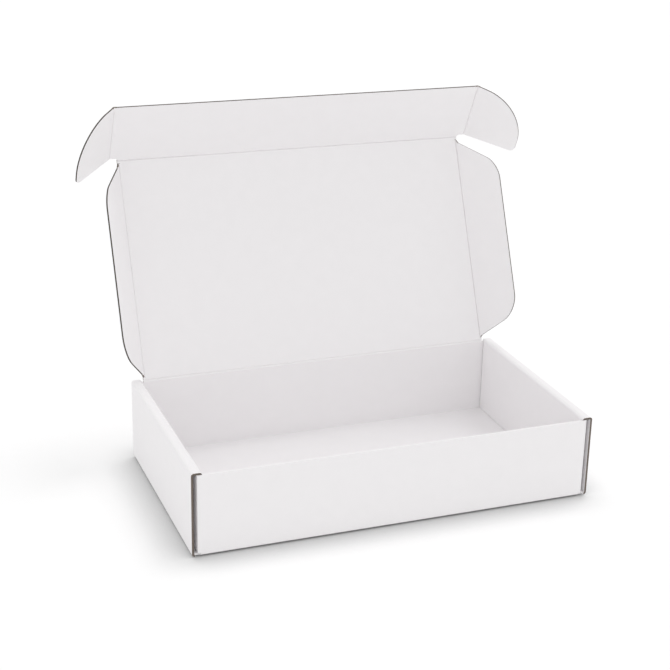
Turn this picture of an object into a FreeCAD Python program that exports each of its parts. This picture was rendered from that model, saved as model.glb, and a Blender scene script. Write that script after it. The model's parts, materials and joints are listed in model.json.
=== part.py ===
import FreeCAD, Part
import math
import os
from FreeCAD import Placement, Rotation, Vector

# A roll-end mailer box folded from one sheet of E-flute board, with its lid open.
# Origin: middle of the underside. X runs along the front wall, Y to the back, Z up.
# Every crease axis lies in the middle of the board.

# Board
board = 1.5
liner = 0.25
medium = 0.2
flute_pitch = 3.3
flute_depth = 2.0
bend_inside = 0.5

# Tray, outside
width = 300.0
depth = 167.0
height = 62.0

# Clearances
ply_gap = 0.6
lid_gap = 0.4
lid_side_gap = 1.2
tuck_gap = 0.6
crease_gap = 0.4
deep_crease_gap = 0.8
slot_gap = 0.2
foot_gap = 0.1

# Corner flaps of the front and rear walls, held inside the side walls
corner_flap_length = 52.0
corner_flap_radius = 10.0

# Locking tabs of the side walls, through slots in the bottom
tab_width = 24.0
tab_spacing = 84.0
tab_chamfer = 0.4

# Side flaps of the lid
side_flap_depth = 38.4
side_flap_rear_start = 3.2
side_flap_front_end = 4.0
side_flap_rear_run = 15.5
side_flap_front_run = 24.5
side_flap_rear_radius = 22.0
side_flap_front_radius = 22.0

# Tuck flap and its ears
tuck_flap_lift = 10.0
ear_length = 44.0
ear_root = 2.6
ear_rise = 4.6
ear_tip_flat = 4.8
ear_tip_radius = 5.0
flute_margin = 3.5

# How far each crease is folded: the lid is counted from closed, the rest from flat
lid_open = 114.0
tuck_flap_fold = 51.0
ear_fold = 44.0
side_flap_fold = 60.0

# Worked out from the sizes above
bend_outside = bend_inside + board
side_face = width / 2
end_face = depth / 2
ear_plane = side_face - board - ply_gap - board / 2
corner_flap_face = ear_plane - board / 2 - ply_gap
inner_ply_face = corner_flap_face - board - ply_gap
inside_face = inner_ply_face - board
wall_top = height - board - lid_gap
crease_radius = board / 2
crease_reach = crease_radius + crease_gap
deep_crease_reach = crease_radius + deep_crease_gap
hinge_y = end_face - crease_radius
hinge_z = height - crease_radius
lid_length = depth + tuck_gap
lid_corner = inside_face - lid_side_gap
side_crease = lid_corner - crease_radius
tuck_flap_length = height - tuck_flap_lift
ear_base = ear_root + ear_rise
ear_top_radius = tuck_flap_length - ear_base - ear_tip_radius - ear_tip_flat
side_flap_end = lid_length - side_flap_front_end


def box(x, y, z):
    """A box between two limits along each of X, Y and Z."""
    low = Vector(min(x), min(y), min(z))
    return Part.makeBox(max(x) - low.x, max(y) - low.y, max(z) - low.z, low)


def polygon(points):
    """A flat face with straight edges."""
    return Part.Face(Part.makePolygon(points + points[:1]))


def folded_strip(path, inward, travel):
    """Board bent around the corners of a path on its outside face, drawn out along travel.

    inward is the board's thickness, with the sign that puts it inside the bends.
    """
    runs = []
    start = path[0]
    for before, corner, after in zip(path, path[1:], path[2:]):
        arrive = (corner - before).normalize()
        leave = (after - corner).normalize()
        bend_start = corner - arrive * bend_outside
        bend_end = corner + leave * bend_outside
        middle = corner + (leave - arrive) * bend_outside * (1 - math.sqrt(0.5))
        runs.append(Part.makeLine(start, bend_start))
        runs.append(Part.Arc(bend_start, middle, bend_end).toShape())
        start = bend_end
    runs.append(Part.makeLine(start, path[-1]))
    section = Part.Wire(runs).makeOffset2D(inward, 0, True, True)
    return section.extrude(travel)


def sheet(face):
    """Board with the given outline in XY, its mid-plane at zero."""
    lowered = face.translated(Vector(0, 0, -board / 2))
    return lowered.extrude(Vector(0, 0, board))


def rounded(panel, corner, radius):
    """A flat panel with one corner of its outline rounded."""
    edges = [e for e in panel.Edges if (e.CenterOfMass - corner).Length < 0.01]
    return panel.makeFillet(radius, edges)


def knuckle(start, end):
    """The rounded edge of a panel along its crease."""
    return Part.makeCylinder(crease_radius, (end - start).Length, start, end - start)


def mirrored(shape):
    """The matching piece on the left."""
    return shape.mirror(Vector(0, 0, 0), Vector(1, 0, 0))


def flute_hollows(low, high, reach):
    """The hollows between the liners from low to high along Y, running along X."""
    liner_face = board / 2 - liner
    wide = flute_pitch / 2 - 2 * medium
    half_pitch = flute_pitch / 2
    hollows = []
    for i in range(int((high - low) / half_pitch)):
        y = low + (i + 0.5) * half_pitch
        open_z = liner_face if i % 2 else -liner_face
        tip_z = -open_z * (1 - medium / liner_face)
        section = polygon([
            Vector(0, y - wide, open_z),
            Vector(0, y + wide, open_z),
            Vector(0, y + medium, tip_z),
            Vector(0, y - medium, tip_z),
        ])
        hollows.append(section.extrude(Vector(reach, 0, 0)))
    return Part.makeCompound(hollows)


def with_open_flutes(panel, low, high, reach):
    """Shows the flutes in the edges of a panel that face away from its crease."""
    rim = panel.cut(panel.translated(Vector(-flute_depth, 0, 0)))
    return panel.cut(flute_hollows(low, high, reach).common(rim))


def end_wall(side, top):
    """The front or rear wall, bent up from the bottom, with its corner flaps bent back."""
    face = side * end_face
    bottom_edge = face - side * 2 * bend_outside
    bend_x = corner_flap_face - bend_outside
    section = [Vector(-bend_x, bottom_edge, 0), Vector(-bend_x, face, 0), Vector(-bend_x, face, top)]
    wall = folded_strip(section, -side * board, Vector(2 * bend_x, 0, 0))
    flap = corner_flap(side)
    return [wall, flap, mirrored(flap)]


def corner_flap(side):
    """The right corner flap of an end wall, between the plies of the side wall."""
    face = side * end_face
    low = bend_outside + ply_gap
    flap_end = face - side * corner_flap_length
    path = [
        Vector(corner_flap_face - 2 * bend_outside, face, low),
        Vector(corner_flap_face, face, low),
        Vector(corner_flap_face, flap_end, low),
    ]
    flap = folded_strip(path, side * board, Vector(0, 0, wall_top - low))
    for z in (low, wall_top):
        flap = rounded(flap, Vector(corner_flap_face - board / 2, flap_end, z), corner_flap_radius)
    return flap


def side_wall():
    """The right side wall: up, over a rounded top and down on the inside to its locking tabs."""
    path = [
        Vector(side_face - 2 * bend_outside, -end_face, 0),
        Vector(side_face, -end_face, 0),
        Vector(side_face, -end_face, height),
        Vector(inside_face, -end_face, height),
        Vector(inside_face, -end_face, height - 2 * bend_outside),
    ]
    outer = folded_strip(path, board, Vector(0, depth, 0))
    for side in (-1, 1):
        corner_y = (side * (end_face - bend_outside), side * depth)
        outer = outer.cut(box((0, side_face - bend_outside), corner_y, (0, board)))
        wall_y = (side * (end_face - board - ply_gap), side * depth)
        outer = outer.cut(box((0, inside_face + bend_outside), wall_y, (0, height - board)))
    return [outer, inner_ply()]


def inner_ply():
    """The inside ply of the right side wall, with tabs that lock in the bottom."""
    half = end_face - board - ply_gap
    foot = board + slot_gap
    edge = [(-half, height - 2 * bend_outside), (-half, foot)]
    for middle in (-tab_spacing / 2, tab_spacing / 2):
        left = middle - tab_width / 2
        right = middle + tab_width / 2
        edge.append((left, foot))
        edge.append((left, foot_gap + tab_chamfer))
        edge.append((left + tab_chamfer, foot_gap))
        edge.append((right - tab_chamfer, foot_gap))
        edge.append((right, foot_gap + tab_chamfer))
        edge.append((right, foot))
    edge.append((half, foot))
    edge.append((half, height - 2 * bend_outside))
    face = polygon([Vector(inside_face, y, z) for y, z in edge])
    return face.extrude(Vector(board, 0, 0))


def tab_slot(middle):
    """The slot in the bottom for one locking tab on the right."""
    slot_x = (inside_face - slot_gap, inner_ply_face + slot_gap)
    half = tab_width / 2 + slot_gap
    return box(slot_x, (middle - half, middle + half), (-board, board))


def tray():
    """Bottom, four walls, rolled side walls and corner flaps, all one folded sheet."""
    floor_x = side_face - bend_outside
    floor_y = end_face - bend_outside
    bottom = box((-floor_x, floor_x), (-floor_y, floor_y), (0, board))
    for middle in (-tab_spacing / 2, tab_spacing / 2):
        slot = tab_slot(middle)
        bottom = bottom.cut(slot).cut(mirrored(slot))
    rear_top = hinge_z - deep_crease_reach
    right = side_wall()
    pieces = end_wall(-1, wall_top) + end_wall(1, rear_top) + right + [mirrored(p) for p in right]
    return bottom.fuse(pieces).removeSplitter()


def lid_panel():
    """The lid from the rear crease to the crease of the tuck flap, as it lies closed and flat."""
    half = side_crease - deep_crease_reach
    end = lid_length - crease_reach
    faces = (-board / 2, board / 2)
    middle = box((-half, half), (0, end), faces)
    rear = box((-lid_corner, lid_corner), (0, side_flap_rear_start - crease_gap), faces)
    front = box((-lid_corner, lid_corner), (side_flap_end + crease_gap, end), faces)
    crease = knuckle(Vector(-lid_corner, 0, 0), Vector(lid_corner, 0, 0))
    return middle.fuse([rear, front, crease]).removeSplitter()


def side_flap():
    """The right side flap, flat, with its crease on the Y axis and its depth along X."""
    rear_corner = side_flap_rear_start + side_flap_rear_run
    front_corner = side_flap_end - side_flap_front_run
    panel = sheet(polygon([
        Vector(0, side_flap_rear_start, 0),
        Vector(0, side_flap_end, 0),
        Vector(side_flap_depth, front_corner, 0),
        Vector(side_flap_depth, rear_corner, 0),
    ]))
    panel = rounded(panel, Vector(side_flap_depth, front_corner, 0), side_flap_front_radius)
    panel = rounded(panel, Vector(side_flap_depth, rear_corner, 0), side_flap_rear_radius)
    low = side_flap_rear_start + flute_margin
    panel = with_open_flutes(panel, low, side_flap_end - flute_margin, side_flap_depth)
    crease = knuckle(Vector(0, side_flap_rear_start, 0), Vector(0, side_flap_end, 0))
    return panel.fuse(crease).removeSplitter()


def tuck_flap():
    """The tuck flap, flat, with its crease on the X axis and its length along Y."""
    half = ear_plane - crease_reach
    panel = sheet(polygon([
        Vector(-lid_corner, 0, 0),
        Vector(lid_corner, 0, 0),
        Vector(lid_corner, ear_root, 0),
        Vector(half, ear_root, 0),
        Vector(half, tuck_flap_length, 0),
        Vector(-half, tuck_flap_length, 0),
        Vector(-half, ear_root, 0),
        Vector(-lid_corner, ear_root, 0),
    ]))
    for x in (-lid_corner, lid_corner):
        panel = rounded(panel, Vector(x, ear_root, 0), ear_root / 2)
    return panel.fuse(knuckle(Vector(-lid_corner, 0, 0), Vector(lid_corner, 0, 0))).removeSplitter()


def ear():
    """The right ear, flat, with its crease on the Y axis and its length along X."""
    root = Vector(0, ear_root, 0)
    tip = Vector(ear_length, ear_base, 0)
    shoulder = Vector(ear_length, tuck_flap_length, 0)
    top = Vector(0, tuck_flap_length, 0)
    panel = sheet(polygon([root, tip, shoulder, top]))
    panel = rounded(panel, tip, ear_tip_radius)
    panel = rounded(panel, shoulder, ear_top_radius)
    low = ear_base + ear_tip_radius
    panel = with_open_flutes(panel, low, tuck_flap_length - flute_margin, ear_length)
    return panel.fuse(knuckle(root, top)).removeSplitter()


# Where each crease stands, one carried by the next
lid_place = Placement(Vector(0, hinge_y, hinge_z), Rotation(Vector(1, 0, 0), 180 - lid_open))
tuck_place = lid_place * Placement(Vector(0, lid_length, 0), Rotation(Vector(1, 0, 0), tuck_flap_fold))
ear_place = tuck_place * Placement(Vector(ear_plane, 0, 0), Rotation(Vector(0, -1, 0), ear_fold))
side_place = lid_place * Placement(Vector(side_crease, 0, 0), Rotation(Vector(0, -1, 0), side_flap_fold))

right_ear = ear()
right_ear.Placement = ear_place
right_side_flap = side_flap()
right_side_flap.Placement = side_place
lid = lid_panel()
lid.Placement = lid_place
tuck = tuck_flap()
tuck.Placement = tuck_place

parts = {
    "tray": tray(),
    "lid_panel": lid,
    "tuck_flap": tuck,
    "tuck_ear_left": mirrored(right_ear),
    "tuck_ear_right": right_ear,
    "lid_side_flap_left": mirrored(right_side_flap),
    "lid_side_flap_right": right_side_flap,
}

os.makedirs("parts", exist_ok=True)
for name, shape in parts.items():
    shape.exportStep("parts/" + name + ".step")
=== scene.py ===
import json
import math

import bmesh
import bpy
from mathutils import Matrix, Vector


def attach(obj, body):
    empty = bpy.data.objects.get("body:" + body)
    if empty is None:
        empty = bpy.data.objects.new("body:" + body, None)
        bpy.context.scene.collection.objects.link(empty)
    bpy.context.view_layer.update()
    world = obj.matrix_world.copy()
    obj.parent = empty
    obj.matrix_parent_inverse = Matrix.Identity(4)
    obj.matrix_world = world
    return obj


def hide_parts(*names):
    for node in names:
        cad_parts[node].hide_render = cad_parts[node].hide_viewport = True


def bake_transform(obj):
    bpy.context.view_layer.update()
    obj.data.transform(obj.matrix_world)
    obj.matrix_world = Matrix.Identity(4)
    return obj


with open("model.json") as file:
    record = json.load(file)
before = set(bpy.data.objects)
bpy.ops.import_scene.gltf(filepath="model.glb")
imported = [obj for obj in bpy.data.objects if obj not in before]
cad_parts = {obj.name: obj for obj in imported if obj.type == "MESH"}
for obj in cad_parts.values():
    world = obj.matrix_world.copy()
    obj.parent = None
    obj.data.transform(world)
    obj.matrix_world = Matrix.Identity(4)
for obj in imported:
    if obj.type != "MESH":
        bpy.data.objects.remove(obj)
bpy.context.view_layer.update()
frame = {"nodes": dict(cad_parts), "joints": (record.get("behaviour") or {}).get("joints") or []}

mm = 0.001
joints = {joint["name"]: joint for joint in frame["joints"]}

# The sheet, in millimetres like every size below
board = {
    "thick": 1.5,
    "liner": 0.25,
    "medium": 0.2,
    "flutePitch": 3.3,
    "stepsPerFlute": 12,
    "cutBack": 0.3,        # how far the fluted layer sits behind the edges of the liners
    "bendFacet": 0.9,      # faces narrower than this are parts of a bend
    "sharpTurn": 32,       # degrees between faces from which an edge stays sharp
    "uvSize": 100.0,       # millimetres of board in one unit of its UV map
}
half = board["thick"] / 2
near = 0.01                # sizes closer than this are the same
touching = 0.00001         # corners this close to a plane lie on it


class Wire:
    # A socket that can stand in a sum
    def __init__(self, recipe, socket):
        self.recipe = recipe
        self.socket = socket

    def sum(self, operation, first, second):
        return self.recipe.node("ShaderNodeMath", {"operation": operation}, {0: first, 1: second})

    def __add__(self, other):
        return self.sum("ADD", self, other)

    def __sub__(self, other):
        return self.sum("SUBTRACT", self, other)

    def __rsub__(self, other):
        return self.sum("SUBTRACT", other, self)

    def __mul__(self, other):
        return self.sum("MULTIPLY", self, other)

    __radd__ = __add__
    __rmul__ = __mul__


class Recipe:
    # A material, or the world, and the nodes that make it
    def __init__(self, owner):
        self.owner = owner
        owner.use_nodes = True
        self.tree = owner.node_tree
        self.tree.nodes.clear()

    def node(self, kind, settings=None, sockets=None, out=0):
        made = self.tree.nodes.new(kind)
        for key, value in (settings or {}).items():
            setattr(made, key, value)
        for key, value in (sockets or {}).items():
            if isinstance(value, Wire):
                self.tree.links.new(value.socket, made.inputs[key])
            else:
                made.inputs[key].default_value = value
        return Wire(self, made.outputs[out] if len(made.outputs) else None)

    def tones(self, share, toneA, toneB):
        return self.node("ShaderNodeMix", {"data_type": "RGBA"}, {0: share, 6: toneA, 7: toneB}, out=2)

    def seen(self):
        # 1 where the camera looks, straight or by way of a shiny or clear surface
        rays = [self.node("ShaderNodeLightPath", out=ray) for ray in (0, 3, 6)]
        return rays[0] + rays[1] + rays[2]


# Materials
paper = {
    "tone": (0.95, 0.933, 0.941, 1),
    "shade": (0.92, 0.903, 0.911, 1),
    "mottle": 11.0,        # size of the faint clouds in the white
    "mottleGrain": 0.6,
    "fibre": 0.5,
    "fibreGrain": 0.7,
    "fibreRun": 2.4,       # fibres lie across the flutes
    "rough": (0.5, 0.16),  # lowest, and how much the fibres add
    "shine": 0.3,
    "fluteRise": 0.004,    # the flutes that show through the liner
    "fibreRise": 0.006,
}
kraft = {
    "tone": (0.26, 0.22, 0.19, 1),
    "shade": (0.15, 0.125, 0.11, 1),
    "fibre": 0.8,
    "fibreGrain": 0.65,
    "rough": (0.8, 0.15),
    "shine": 0.2,
    "fibreRise": 0.03,
}


def whiteLiner():
    r = Recipe(bpy.data.materials.new("whiteLiner"))
    size = board["uvSize"]
    place = r.node("ShaderNodeUVMap", {"uv_map": "board"})
    drawnOut = r.node("ShaderNodeMapping", None, {"Vector": place, "Scale": (paper["fibreRun"], 1, 1)})
    mottle = r.node("ShaderNodeTexNoise", None, {
        "Vector": place, "Scale": size / paper["mottle"], "Detail": 4.0, "Roughness": paper["mottleGrain"]})
    fibre = r.node("ShaderNodeTexNoise", None, {
        "Vector": drawnOut, "Scale": size / paper["fibre"], "Detail": 3.0, "Roughness": paper["fibreGrain"]})
    acrossFlutes = r.node("ShaderNodeSeparateXYZ", None, {0: place}, out=1)
    wave = r.node("ShaderNodeMath", {"operation": "SINE"}, {
        0: acrossFlutes * (2 * math.pi * size / board["flutePitch"])})
    rise = wave * paper["fluteRise"] + fibre * paper["fibreRise"]
    bump = r.node("ShaderNodeBump", None, {"Distance": mm, "Height": rise})
    lowest, spread = paper["rough"]
    shader = r.node("ShaderNodeBsdfPrincipled", None, {
        "Base Color": r.tones(mottle, paper["tone"], paper["shade"]),
        "Roughness": fibre * spread + lowest,
        "Specular IOR Level": paper["shine"],
        "Normal": bump,
    })
    r.node("ShaderNodeOutputMaterial", None, {"Surface": shader})
    return r.owner


def brownCore():
    r = Recipe(bpy.data.materials.new("brownCore"))
    place = r.node("ShaderNodeTexCoord", None, None, out=3)
    fibre = r.node("ShaderNodeTexNoise", None, {
        "Vector": place, "Scale": 1 / (kraft["fibre"] * mm), "Detail": 4.0, "Roughness": kraft["fibreGrain"]})
    bump = r.node("ShaderNodeBump", None, {"Distance": mm, "Height": fibre * kraft["fibreRise"]})
    lowest, spread = kraft["rough"]
    shader = r.node("ShaderNodeBsdfPrincipled", None, {
        "Base Color": r.tones(fibre, kraft["shade"], kraft["tone"]),
        "Roughness": fibre * spread + lowest,
        "Specular IOR Level": kraft["shine"],
        "Normal": bump,
    })
    r.node("ShaderNodeOutputMaterial", None, {"Surface": shader})
    return r.owner


finishes = [whiteLiner(), brownCore()]
liner, core = 0, 1


# Where the panels lie: X along a crease or the front, Y across the panel, Z to the inside
def placeOf(origin, x, y, z):
    place = Matrix((x, y, z)).transposed().to_4x4()
    place.translation = Vector(origin)
    return place


right = Vector((1, 0, 0))
hingeSpot = Vector(joints["lid_hinge"]["pos_m"])
tuckSpot = Vector(joints["tuck_flap_crease"]["pos_m"])
lidAlong = (tuckSpot - hingeSpot).normalized()
tuckAlong = Vector(joints["ear_crease_left"]["axis"])
lidInward = right.cross(lidAlong)
tuckInward = right.cross(tuckAlong)
tuckFold = -joints["tuck_flap_crease"]["range_deg"][0]
earFold = -joints["ear_crease_right"]["range_deg"][0]
lidLength = (tuckSpot - hingeSpot).length / mm

lidPlace = placeOf(hingeSpot, right, lidAlong, lidInward)
tuckPlace = placeOf(tuckSpot, right, tuckAlong, tuckInward)


def foldedPlace(origin, along, inward, fold, side):
    # A panel that is folded inwards from the right or left edge of another
    turn = math.radians(fold)
    outward = right * side
    across = outward * math.cos(turn) + inward * math.sin(turn)
    normal = inward * math.cos(turn) - outward * math.sin(turn)
    return placeOf(origin, across, along, normal)


def finishPiece(name, bm, place, node=None):
    # Puts a mesh that was made in millimetres where it belongs
    for face in bm.faces:
        face.smooth = face.calc_area() < board["bendFacet"] * max(edge.calc_length() for edge in face.edges)
    bmesh.ops.transform(bm, matrix=place @ Matrix.Scale(mm, 4), verts=bm.verts)
    if place.determinant() < 0:
        bmesh.ops.reverse_faces(bm, faces=bm.faces)
    mesh = bpy.data.meshes.new(name)
    bm.to_mesh(mesh)
    bm.free()
    mesh.set_sharp_from_angle(angle=math.radians(board["sharpTurn"]))
    piece = bpy.data.objects.new(name, mesh)
    bpy.context.scene.collection.objects.link(piece)
    for finish in finishes:
        mesh.materials.append(finish)
    if node:
        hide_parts(node)
    return piece


def mapBoard(bm, spots):
    # spots says where a corner of a face lies in the sheet: along the flutes, then across them
    layer = bm.loops.layers.uv.new("board")
    for face in bm.faces:
        for corner in face.loops:
            corner[layer].uv = [value / board["uvSize"] for value in spots(corner.vert.co, face)]


def flatSpots(co, face):
    return co.x, co.y


def turnedSpots(co, face):
    return co.y, co.x


def roundCorner(bm, spot, radius, steps=10):
    # Rounds one corner of a flat outline
    corner = min(bm.verts, key=lambda vert: (vert.co - Vector(spot)).length)
    arms = [edge.other_vert(corner).co - corner.co for edge in corner.link_edges]
    cut = radius / math.tan(arms[0].angle(arms[1]) / 2)
    bmesh.ops.bevel(bm, geom=[corner], offset=cut, offset_type="OFFSET", segments=steps,
                    profile=0.5, affect="VERTICES", material=-1)


def outlineOf(bm):
    return [vert.co.copy() for vert in max(bm.faces, key=lambda face: face.calc_area()).verts]


def lift(bm, faces, away):
    # Gives flat faces a thickness
    raised = bmesh.ops.extrude_face_region(bm, geom=faces)["geom"]
    bmesh.ops.translate(bm, vec=away, verts=[part for part in raised if isinstance(part, bmesh.types.BMVert)])


def keepInside(bm, spot, outward, fill=False):
    # Cuts away what lies beyond a plane
    cut = bmesh.ops.bisect_plane(bm, geom=bm.verts[:] + bm.edges[:] + bm.faces[:], dist=touching,
                                 plane_co=spot, plane_no=outward, clear_outer=True)
    if fill:
        rim = [part for part in cut["geom_cut"] if isinstance(part, bmesh.types.BMEdge)]
        bmesh.ops.holes_fill(bm, edges=rim, sides=0)


def flutedPanel(rim, linerRim=None):
    # Two liners with a waved sheet between them, its flutes running along X
    lowX, highX = min(v.x for v in rim), max(v.x for v in rim)
    lowY, highY = min(v.y for v in rim), max(v.y for v in rim)
    pitch = board["flutePitch"]
    swing = half - board["liner"] - board["medium"] / 2
    bm = bmesh.new()
    count = round((highY - lowY) / pitch * board["stepsPerFlute"])
    bmesh.ops.create_grid(bm, x_segments=1, y_segments=count, size=0.5)
    bmesh.ops.scale(bm, vec=(highX - lowX, highY - lowY, 1), verts=bm.verts)
    bmesh.ops.translate(bm, vec=((lowX + highX) / 2, (lowY + highY) / 2, 0), verts=bm.verts)
    for vert in bm.verts:
        vert.co.z = swing * math.sin(2 * math.pi * vert.co.y / pitch) + board["medium"] / 2
    middle = Vector(((lowX + highX) / 2, (lowY + highY) / 2, 0))
    for start, end in zip(rim, rim[1:] + rim[:1]):
        outward = (end - start).cross(Vector((0, 0, 1))).normalized()
        if outward.dot(start - middle) < 0:
            outward.negate()
        keepInside(bm, start - outward * board["cutBack"], outward)
    bmesh.ops.solidify(bm, geom=bm.faces[:], thickness=board["medium"])
    for face in bm.faces:
        face.material_index = core
    for low in (-half, half - board["liner"]):
        sheet = bm.faces.new([bm.verts.new((v.x, v.y, low)) for v in linerRim or rim])
        lift(bm, [sheet], (0, 0, board["liner"]))
    liners = [face for face in bm.faces if face.material_index == liner]
    bmesh.ops.recalc_face_normals(bm, faces=liners)
    for face in liners:
        if abs(face.calc_center_median().z) < half - board["liner"] + near:
            face.material_index = core
    mapBoard(bm, flatSpots)
    return bm


def polygonOutline(points):
    bm = bmesh.new()
    bm.faces.new([bm.verts.new((x, y, 0)) for x, y in points])
    return bm


# Creases: board pressed thin along a line, closed outside, with a valley inside
crease = {
    "reach": 2.2,          # how far each strip runs over the flat board beside it
    "mouth": 0.85,         # from the crease to either lip of the valley
    "valley": 0.05,        # height of its bottom over the middle of the board
    "soft": 0.16,          # how far its lips and bottom are rounded
    "softSteps": 3,
    "turnSteps": 8,
    "slackTurn": 0.45,     # bend of the outer liner where a crease opens outwards
    "cutEnd": 0.4,         # a face that leans along the crease more than this is a cut end
}


def creaseStrip(name, place, fold, low, high, parentReach, childReach, spots, trims=()):
    # The board along a crease, from low to high, and over both panels beside it
    turn = math.radians(fold)
    along = Vector((0, math.cos(turn), math.sin(turn)))
    inward = Vector((0, -math.sin(turn), math.cos(turn)))
    middle = Vector((0, math.cos(turn / 2), math.sin(turn / 2)))
    inwardMiddle = Vector((0, -math.sin(turn / 2), math.cos(turn / 2)))
    meet = half * math.tan(turn / 2)
    section = [
        Vector((0, -parentReach, -half)),
        Vector((0, meet, -half)),
        along * childReach - inward * half,
        along * childReach + inward * half,
        along * crease["mouth"] + inward * half,
        inwardMiddle * crease["valley"],
        Vector((0, -crease["mouth"], half)),
        Vector((0, -parentReach, half)),
    ]
    bm = bmesh.new()
    end = bm.faces.new([bm.verts.new(spot + right * low) for spot in section])
    lift(bm, [end], right * (high - low))

    def longEdge(spot):
        return [edge for edge in bm.edges if edge.calc_length() > high - low - near
                and (edge.verts[0].co - spot).cross(right).length < near]

    bends = [(section[1], meet if fold > 0 else crease["slackTurn"], crease["turnSteps"])]
    bends += [(spot, crease["soft"], crease["softSteps"]) for spot in section[4:7]]
    for spot, offset, steps in bends:
        bmesh.ops.bevel(bm, geom=longEdge(spot), offset=offset, offset_type="OFFSET", segments=steps,
                        profile=0.5, affect="EDGES", material=-1, clamp_overlap=True)
    for (spotAlong, spotAcross), (outAlong, outAcross) in trims:
        keepInside(bm, right * spotAlong + along * spotAcross, right * outAlong + along * outAcross, fill=True)
    bmesh.ops.recalc_face_normals(bm, faces=bm.faces)
    for face in bm.faces:
        if abs(face.normal.x) > crease["cutEnd"]:
            face.material_index = core
    mapBoard(bm, spots)
    piece = finishPiece(name, bm, place)
    span = middle * (half * math.sin(turn / 2) if fold > 0 else crease["slackTurn"]) * mm
    place @ -span
    place @ span
    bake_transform(piece)
    return piece


# The tray
tray = {
    "side": 83.5,          # Y of the ends of the rolled side walls
    "wallX": 148.0,        # where the bends of the outer ply are centred
    "lowBendZ": 2.0,
    "highBendZ": 60.0,
    "rollX": 144.2,        # where the bend down to the inner ply is centred
    "bend": 2.0,
    "hookZ": 60.5,         # where the hook ends over the front wall
    "bendSteps": 7,
    "grooveDepth": 0.3,
    "cornerX": 143.8,      # where the bends of the corner flaps are centred
    "cornerY": 81.5,
    "cornerBend": 0.9,     # pressed sharper on the outside than the board's own bend
    "weld": 0.001,
    "flatTurn": 0.5,       # degrees between facets that are one face
    "facingEnd": 0.9999,
    "facing": 0.7,
}


def traySpots(co, face):
    if abs(face.normal.y) > tray["facing"]:
        return co.x, co.z
    if abs(face.normal.x) > tray["facing"]:
        return co.z, co.y
    return co.x, co.y


def grooveRim():
    # The core in the cut end of a side wall, between its liners, as X and Z
    skin = board["liner"]
    outer, inner = tray["bend"] - skin, tray["bend"] - board["thick"] + skin
    hook = math.asin((tray["hookZ"] + skin - tray["highBendZ"]) / outer)

    def bend(x, z, radius, start, end):
        last = tray["bendSteps"] - 1
        turns = [start + (end - start) * step / last for step in range(tray["bendSteps"])]
        return [(x + radius * math.cos(turn), z + radius * math.sin(turn)) for turn in turns]

    low = tray["wallX"], tray["lowBendZ"]
    high = tray["wallX"], tray["highBendZ"]
    roll = tray["rollX"], tray["highBendZ"]
    return (bend(*low, outer, -math.acos(skin / outer), 0) + bend(*high, outer, 0, math.pi / 2)
            + bend(*roll, outer, math.pi / 2, math.pi - hook)
            + bend(*high, inner, math.pi / 2, 0) + bend(*low, inner, 0, -math.acos(skin / inner)))


def pressCorners(bm):
    # Sharpens the outside of the upright bends between the end walls and the corner flaps
    slack = tray["bend"] - tray["cornerBend"]
    for vert in bm.verts:
        away = Vector((abs(vert.co.x) - tray["cornerX"], abs(vert.co.y) - tray["cornerY"]))
        if min(away) > -near and abs(away.length - tray["bend"]) < near:
            away = away * (tray["cornerBend"] / tray["bend"]) + Vector((slack, slack))
            vert.co.x = math.copysign(tray["cornerX"] + away.x, vert.co.x)
            vert.co.y = math.copysign(tray["cornerY"] + away.y, vert.co.y)


def cutGroove(bm, end):
    # Sinks the core of one cut end between its liners
    spot = end.calc_center_median()
    sideX, sideY = math.copysign(1, spot.x), math.copysign(1, spot.y)
    outline = end.edges[:]
    bmesh.ops.delete(bm, geom=[end], context="FACES_ONLY")
    rim = [bm.verts.new((x * sideX, spot.y, z)) for x, z in grooveRim()]
    floor = [bm.verts.new((x * sideX, spot.y - tray["grooveDepth"] * sideY, z)) for x, z in grooveRim()]
    rimEdges = [bm.edges.new(pair) for pair in zip(rim, rim[1:] + rim[:1])]
    filled = bmesh.ops.triangle_fill(bm, edges=outline + rimEdges, use_beauty=True)["geom"]
    made = [part for part in filled if isinstance(part, bmesh.types.BMFace)]
    pairs = list(zip(rim, floor))
    for (a, c), (b, d) in zip(pairs, pairs[1:] + pairs[:1]):
        made.append(bm.faces.new((a, b, d, c)))
    made.append(bm.faces.new(floor))
    for face in made:
        face.material_index = core


def makeTray():
    bm = bmesh.new()
    bm.from_mesh(frame["nodes"]["tray"].data)
    bmesh.ops.scale(bm, vec=(1 / mm, 1 / mm, 1 / mm), verts=bm.verts)
    bmesh.ops.remove_doubles(bm, verts=bm.verts, dist=tray["weld"])
    bmesh.ops.dissolve_limit(bm, angle_limit=math.radians(tray["flatTurn"]), verts=bm.verts, edges=bm.edges)
    pressCorners(bm)
    for face in bm.faces:
        face.material_index = liner
    middles = {face: face.calc_center_median() for face in bm.faces}
    ends = [face for face, middle in middles.items()
            if abs(face.normal.y) > tray["facingEnd"] and abs(abs(middle.y) - tray["side"]) < near
            and abs(middle.x) > tray["rollX"]]
    for end in ends:
        cutGroove(bm, end)
    bmesh.ops.recalc_face_normals(bm, faces=bm.faces)
    mapBoard(bm, traySpots)
    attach(finishPiece("trayFolded", bm, Matrix.Identity(4), "tray"), "tray")
    print("tray made, with cut ends:", len(ends))


makeTray()

# The lid with its side flaps
lid = {"crease": 140.25, "corner": 141.0, "rearBelow": 1.55}
sideFlap = {
    "low": 3.2, "high": 163.6, "depth": 38.4, "rearRun": 15.5, "frontRun": 24.5,
    "rearRadius": 22.0, "frontRadius": 22.0, "fold": 60.0,
}


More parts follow.
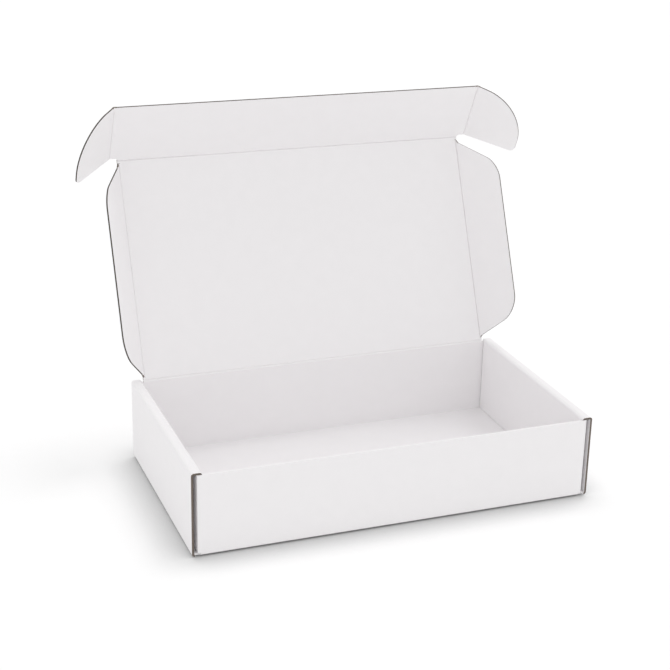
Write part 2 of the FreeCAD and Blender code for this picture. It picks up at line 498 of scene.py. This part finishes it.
def makeLid():
    reach = crease["reach"]
    wide, low, high = lid["crease"] - reach, reach, lidLength - reach
    bm = polygonOutline([(-wide, low), (wide, low), (wide, high), (-wide, high)])
    bmesh.ops.translate(bm, vec=(0, 0, -half), verts=bm.verts)
    lift(bm, bm.faces[:], (0, 0, board["thick"]))
    bmesh.ops.recalc_face_normals(bm, faces=bm.faces)
    mapBoard(bm, flatSpots)
    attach(finishPiece("lidPanel", bm, lidPlace, "lid_panel"), "lid")
    upright = placeOf(hingeSpot, right, Vector((0, 0, 1)), Vector((0, -1, 0)))
    lean = -math.degrees(Vector((0, 0, 1)).angle(lidAlong))
    creaseStrip("rearCrease", upright, lean, -lid["corner"], lid["corner"],
                lid["rearBelow"], reach, flatSpots)


def sideFlapRim():
    reach = crease["reach"]
    depth = sideFlap["depth"]
    low = sideFlap["low"] + sideFlap["rearRun"]
    high = sideFlap["high"] - sideFlap["frontRun"]
    bm = polygonOutline([(0, sideFlap["low"]), (depth, low), (depth, high), (0, sideFlap["high"])])
    roundCorner(bm, (depth, low, 0), sideFlap["rearRadius"])
    roundCorner(bm, (depth, high, 0), sideFlap["frontRadius"])
    keepInside(bm, (reach, 0, 0), (-1, 0, 0))
    rim = outlineOf(bm)
    bm.free()
    return rim


def makeSideFlap(side, name):
    origin = joints["side_flap_crease_" + name]["pos_m"]
    body = "side_flap_" + name
    place = foldedPlace(origin, lidAlong, lidInward, sideFlap["fold"], side)
    piece = finishPiece("sideFlap_" + name, flutedPanel(sideFlapRim()), place, "lid_side_flap_" + name)
    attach(piece, body)
    reach = crease["reach"]
    low, high = reach, lidLength - reach
    rearEnd = sideFlap["low"] + sideFlap["rearRun"] * reach / sideFlap["depth"]
    frontEnd = sideFlap["high"] - sideFlap["frontRun"] * reach / sideFlap["depth"]
    trims = [((low, 0), (-reach, rearEnd - low)), ((high, 0), (reach, high - frontEnd))]
    creaseStrip("sideFlapCrease_" + name, placeOf(origin, lidAlong, right * side, lidInward),
                sideFlap["fold"], low, high, reach, reach, turnedSpots, trims)


makeLid()
makeSideFlap(1, "right")
makeSideFlap(-1, "left")

# The tuck flap with its ears
tuck = {"root": 2.6, "length": 52.0, "earX": 147.15, "slotRound": 2.2, "slotSteps": 6}
ear = {"length": 44.0, "rise": 4.6, "topRadius": 35.0, "topSteps": 24, "tipRadius": 5.0}


def slotEnd():
    # The liner's rounded corner beside the right ear's slot
    turns = [math.radians(90) * step / tuck["slotSteps"] for step in range(tuck["slotSteps"] + 1)]
    bow = [(lid["corner"] + tuck["slotRound"] * (1 - math.cos(turn)),
            tuck["root"] - tuck["slotRound"] * (1 - math.sin(turn))) for turn in turns]
    return [Vector((x, y, 0)) for x, y in [(lid["corner"], tuck["root"]), *bow]]


def makeTuckFlap():
    wide = tuck["earX"] - crease["reach"]
    low, high = tuck["root"], tuck["length"]
    rim = [Vector((x, y, 0)) for x, y in ((-wide, low), (wide, low), (wide, high), (-wide, high))]
    rightEnd = slotEnd()
    leftEnd = [Vector((-spot.x, spot.y, 0)) for spot in reversed(rightEnd)]
    panel = flutedPanel(rim, rim[:1] + leftEnd + rightEnd + rim[1:])
    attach(finishPiece("tuckFlap", panel, tuckPlace, "tuck_flap"), "tuck_flap")
    creaseStrip("tuckCrease", placeOf(tuckSpot, right, lidAlong, lidInward), tuckFold,
                -lid["corner"], lid["corner"], crease["reach"], low, flatSpots)


def earRim():
    length, high = ear["length"], tuck["length"]
    tip = tuck["root"] + ear["rise"]
    bm = polygonOutline([(0, tuck["root"]), (length, tip), (length, high), (0, high)])
    roundCorner(bm, (length, tip, 0), ear["tipRadius"])
    roundCorner(bm, (length, high, 0), ear["topRadius"], steps=ear["topSteps"])
    keepInside(bm, (crease["reach"], 0, 0), (-1, 0, 0))
    rim = outlineOf(bm)
    bm.free()
    return rim


def makeEar(side, name):
    origin = joints["ear_crease_" + name]["pos_m"]
    body = "ear_" + name
    place = foldedPlace(origin, tuckAlong, tuckInward, earFold, side)
    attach(finishPiece("ear_" + name, flutedPanel(earRim()), place, "tuck_ear_" + name), body)
    trims = [((tuck["root"], 0), (-ear["length"], ear["rise"]))]
    creaseStrip("earCrease_" + name, placeOf(origin, tuckAlong, right * side, tuckInward),
                earFold, tuck["root"], tuck["length"], crease["reach"], crease["reach"], turnedSpots, trims)


makeTuckFlap()
makeEar(1, "right")
makeEar(-1, "left")

# Floor, light and camera
studio = {
    "floorSize": 30.0,
    "floorTone": (0.96, 0.96, 0.96, 1),
    "paintedShadowTone": (0, 0, 0, 1),    # painted contact shadow: the floor colour the camera sees right under the box
    # how far from the box the painted contact shadow reaches, and how steeply it fades
    "paintedShadowReach": 0.032,
    "paintedShadowPower": 1.3,
    "floorGap": 1.1,       # the edges of the folded board don't quite touch the floor
    "floorLift": 0.09,     # what the camera sees beyond the light on the floor
    "horizonLight": 0.915,
    "zenithLight": 0.82,
    "sunLight": 0.42,
    "sunFrom": (0.45, 0.2, 1.0),
    "sunSpread": 25.0,
}
lens = {
    "length": 82.75, "sensor": 36.0, "nearest": 50.0, "farthest": 60000.0,
    "azimuth": -20.93, "elevation": 21.02, "roll": 1.27,
    "right": -15.12, "up": 104.71, "distance": 1158.5,
}


def makeFloor():
    bm = bmesh.new()
    bmesh.ops.create_grid(bm, x_segments=1, y_segments=1, size=studio["floorSize"] / 2)
    bmesh.ops.translate(bm, vec=(0, 0, -studio["floorGap"] * mm), verts=bm.verts)
    mesh = bpy.data.meshes.new("floor")
    bm.to_mesh(mesh)
    bm.free()
    floor = bpy.data.objects.new("floor", mesh)
    bpy.context.scene.collection.objects.link(floor)
    r = Recipe(bpy.data.materials.new("paleFloor"))
    # Painted contact shadow: for the camera only, the floor darkens towards black where the box hides the
    # nearby sky; light that bounces off the floor keeps the plain floor tone
    skyShare = r.node("ShaderNodeAmbientOcclusion", None, {"Distance": studio["paintedShadowReach"]}, out=1)
    paintedShadow = r.node("ShaderNodeMath", {"operation": "POWER"}, {0: 1 - skyShare, 1: studio["paintedShadowPower"]})
    tone = r.tones(r.seen() * paintedShadow, studio["floorTone"], studio["paintedShadowTone"])
    matt = r.node("ShaderNodeBsdfDiffuse", None, {"Color": tone})
    glow = r.node("ShaderNodeEmission", None, {"Strength": r.seen() * studio["floorLift"]})
    both = r.node("ShaderNodeAddShader", None, {0: matt, 1: glow})
    r.node("ShaderNodeOutputMaterial", None, {"Surface": both})
    mesh.materials.append(r.owner)


def makeLight():
    world = bpy.data.worlds.new("studio")
    bpy.context.scene.world = world
    r = Recipe(world)
    way = r.node("ShaderNodeTexCoord")
    up = r.node("ShaderNodeMath", {"operation": "MAXIMUM"}, {
        0: r.node("ShaderNodeSeparateXYZ", None, {0: way}, out=2), 1: 0.0})
    light = up * (studio["zenithLight"] - studio["horizonLight"]) + studio["horizonLight"]
    seen = r.seen()
    strength = seen + (1 - seen) * light
    sky = r.node("ShaderNodeBackground", None, {"Color": (1, 1, 1, 1), "Strength": strength})
    r.node("ShaderNodeOutputWorld", None, {"Surface": sky})
    sun = bpy.data.lights.new("softSun", "SUN")
    sun.energy = studio["sunLight"]
    sun.angle = math.radians(studio["sunSpread"])
    lamp = bpy.data.objects.new("softSun", sun)
    lamp.rotation_euler = Vector(studio["sunFrom"]).to_track_quat("Z", "Y").to_euler()
    bpy.context.scene.collection.objects.link(lamp)


def makeCamera():
    azimuth, elevation, roll = (math.radians(lens[key]) for key in ("azimuth", "elevation", "roll"))
    back = Vector((math.sin(azimuth) * math.cos(elevation), -math.cos(azimuth) * math.cos(elevation),
                   math.sin(elevation)))
    level = Vector((math.cos(azimuth), math.sin(azimuth), 0))
    upright = back.cross(level)
    across = level * math.cos(roll) + upright * math.sin(roll)
    up = upright * math.cos(roll) - level * math.sin(roll)
    camera = bpy.data.objects.new("camera", bpy.data.cameras.new("camera"))
    camera.data.lens = lens["length"]
    camera.data.sensor_width = lens["sensor"]
    camera.data.clip_start, camera.data.clip_end = lens["nearest"] * mm, lens["farthest"] * mm
    spot = (across * lens["right"] + up * lens["up"] + back * lens["distance"]) * mm
    camera.matrix_world = placeOf(spot, across, up, back)
    bpy.context.scene.collection.objects.link(camera)
    bpy.context.scene.camera = camera


makeFloor()
makeLight()
makeCamera()
bpy.context.scene.view_settings.view_transform = "Standard"
print("studio made")
